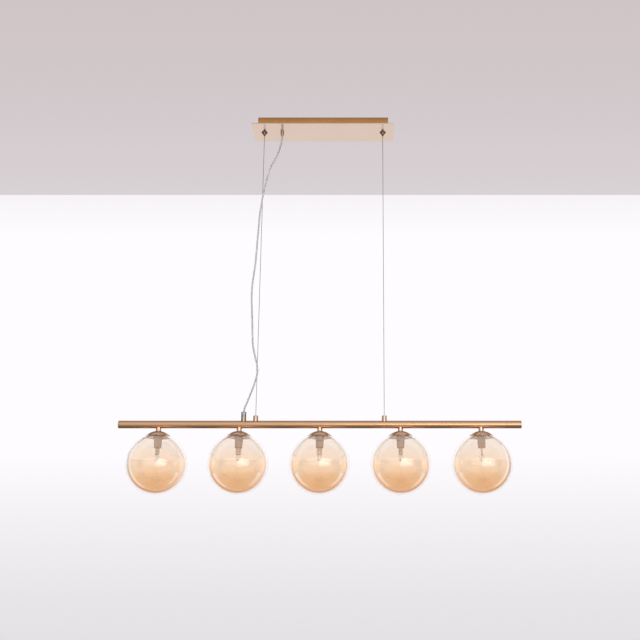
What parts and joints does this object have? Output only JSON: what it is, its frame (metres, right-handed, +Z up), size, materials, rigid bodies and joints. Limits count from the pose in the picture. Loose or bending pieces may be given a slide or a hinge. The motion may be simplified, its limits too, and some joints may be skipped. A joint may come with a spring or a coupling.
{
  "type": "linear pendant chandelier",
  "caption": "Linear pendant chandelier: a round gold bar with amber glass globes, hung on steel cables from a flat rectangular canopy.",
  "frame": {"origin": "middle of the bracket's face against the ceiling", "axes": "+Z up, out of the ceiling face; +X along the bar, away from the power cord; -Y towards the room's viewer"},
  "size_m": [1, 0.15, 0.9969],
  "materials": {
    "satin_gold": "satin, finely brushed",
    "polished_gold": "polished",
    "zinc_steel": "zinc plated",
    "steel_cable": "stranded, bright",
    "clear_cord": "clear jacket over tinned strands",
    "clear_plastic": "clear",
    "white_plastic": "moulded",
    "wire_sleeve": "silicone sleeve",
    "ceramic": "unglazed ceramic",
    "amber_glass": "clear glass tinted amber, deeper towards the bottom",
    "clear_glass": "clear"
  },
  "bodies": {
    "canopy": {"ceiling_bracket": "zinc_steel", "canopy_box": "satin_gold", "canopy_plate": "polished_gold", "canopy_screws": "satin_gold", "terminal_block": "white_plastic", "terminal_screws": "zinc_steel", "canopy_wires": "wire_sleeve", "cable_grip_left": "polished_gold", "cable_grip_right": "polished_gold", "grip_nuts": "zinc_steel", "cord_grip_top": "polished_gold"},
    "nose_left": {"release_nose_left": "polished_gold"},
    "nose_right": {"release_nose_right": "polished_gold"},
    "collets": {"collet_left": "zinc_steel", "collet_right": "zinc_steel"},
    "left_cable": {"cable_left": "steel_cable", "power_cord": "clear_cord", "cord_clip": "clear_plastic"},
    "right_cable": {"cable_right": "steel_cable"},
    "left_end": {"cable_ball_left": "steel_cable"},
    "bar": {"bar_tube": "satin_gold", "end_cap_left": "satin_gold", "end_cap_right": "satin_gold", "cable_seat_left": "polished_gold", "cable_seat_right": "polished_gold", "cable_ball_right": "steel_cable", "cord_grip_bar": "polished_gold", "cord_collar": "clear_plastic", "lock_nuts": "zinc_steel", "wire_loom": "wire_sleeve", "stem_1": "polished_gold", "stem_2": "polished_gold", "stem_3": "polished_gold", "stem_4": "polished_gold", "stem_5": "polished_gold", "cap_1": "polished_gold", "cap_2": "polished_gold", "cap_3": "polished_gold", "cap_4": "polished_gold", "cap_5": "polished_gold", "holder_1": "polished_gold", "holder_2": "polished_gold", "holder_3": "polished_gold", "holder_4": "polished_gold", "holder_5": "polished_gold", "socket_1": "ceramic", "socket_2": "ceramic", "socket_3": "ceramic", "socket_4": "ceramic", "socket_5": "ceramic"},
    "globe_1": {"globe_1": "amber_glass"},
    "bulb_1": {"bulb_1": "clear_glass"},
    "globe_2": {"globe_2": "amber_glass"},
    "bulb_2": {"bulb_2": "clear_glass"},
    "globe_3": {"globe_3": "amber_glass"},
    "bulb_3": {"bulb_3": "clear_glass"},
    "globe_4": {"globe_4": "amber_glass"},
    "bulb_4": {"bulb_4": "clear_glass"},
    "globe_5": {"globe_5": "amber_glass"},
    "bulb_5": {"bulb_5": "clear_glass"}
  },
  "joints": [
    {"name": "release_left", "type": "slide", "parent": "canopy", "child": "nose_left", "axis": [0, 0, 1], "range_m": [0, 0.002], "stiffness_N_per_m": 300, "springref_m": -0.002},
    {"name": "release_right", "type": "slide", "parent": "canopy", "child": "nose_right", "axis": [0, 0, 1], "range_m": [0, 0.002], "stiffness_N_per_m": 300, "springref_m": -0.002},
    {"name": "swing", "type": "hinge", "parent": "canopy", "child": "collets", "pos_m": [0, 0, -0.02277], "axis": [1, 0, 0], "range_deg": [-8, 8]},
    {"name": "sway", "type": "hinge", "parent": "collets", "child": "left_cable", "pos_m": [-0.16, 0, -0.02277], "axis": [0, 1, 0], "range_deg": [-5, 5]},
    {"name": "sway_right", "type": "hinge", "parent": "collets", "child": "right_cable", "pos_m": [0.16, 0, -0.02277], "axis": [0, 1, 0], "range_deg": [-5, 5]},
    {"name": "height_adjust", "type": "slide", "parent": "left_cable", "child": "left_end", "axis": [0, 0, 1], "range_m": [0, 0.4], "deforming": ["cable_left", "cable_right", "power_cord", "cord_clip"]},
    {"name": "bar_level", "type": "hinge", "parent": "left_end", "child": "bar", "pos_m": [-0.16, 0, -0.807], "axis": [0, 1, 0], "range_deg": [-5, 5]},
    {"name": "globe_off_1", "type": "slide", "parent": "bar", "child": "globe_1", "axis": [0, 0, -1], "range_m": [0, 0.085]},
    {"name": "bulb_out_1", "type": "slide", "parent": "bar", "child": "bulb_1", "axis": [0, 0, -1], "range_m": [0, 0.014]},
    {"name": "globe_off_2", "type": "slide", "parent": "bar", "child": "globe_2", "axis": [0, 0, -1], "range_m": [0, 0.085]},
    {"name": "bulb_out_2", "type": "slide", "parent": "bar", "child": "bulb_2", "axis": [0, 0, -1], "range_m": [0, 0.014]},
    {"name": "globe_off_3", "type": "slide", "parent": "bar", "child": "globe_3", "axis": [0, 0, -1], "range_m": [0, 0.085]},
    {"name": "bulb_out_3", "type": "slide", "parent": "bar", "child": "bulb_3", "axis": [0, 0, -1], "range_m": [0, 0.014]},
    {"name": "globe_off_4", "type": "slide", "parent": "bar", "child": "globe_4", "axis": [0, 0, -1], "range_m": [0, 0.085]},
    {"name": "bulb_out_4", "type": "slide", "parent": "bar", "child": "bulb_4", "axis": [0, 0, -1], "range_m": [0, 0.014]},
    {"name": "globe_off_5", "type": "slide", "parent": "bar", "child": "globe_5", "axis": [0, 0, -1], "range_m": [0, 0.085]},
    {"name": "bulb_out_5", "type": "slide", "parent": "bar", "child": "bulb_5", "axis": [0, 0, -1], "range_m": [0, 0.014]}
  ],
  "couplings": [
    {"joint": "sway_right", "follows": "sway", "ratio": 1},
    {"joint": "bar_level", "follows": "sway", "ratio": -1}
  ]
}
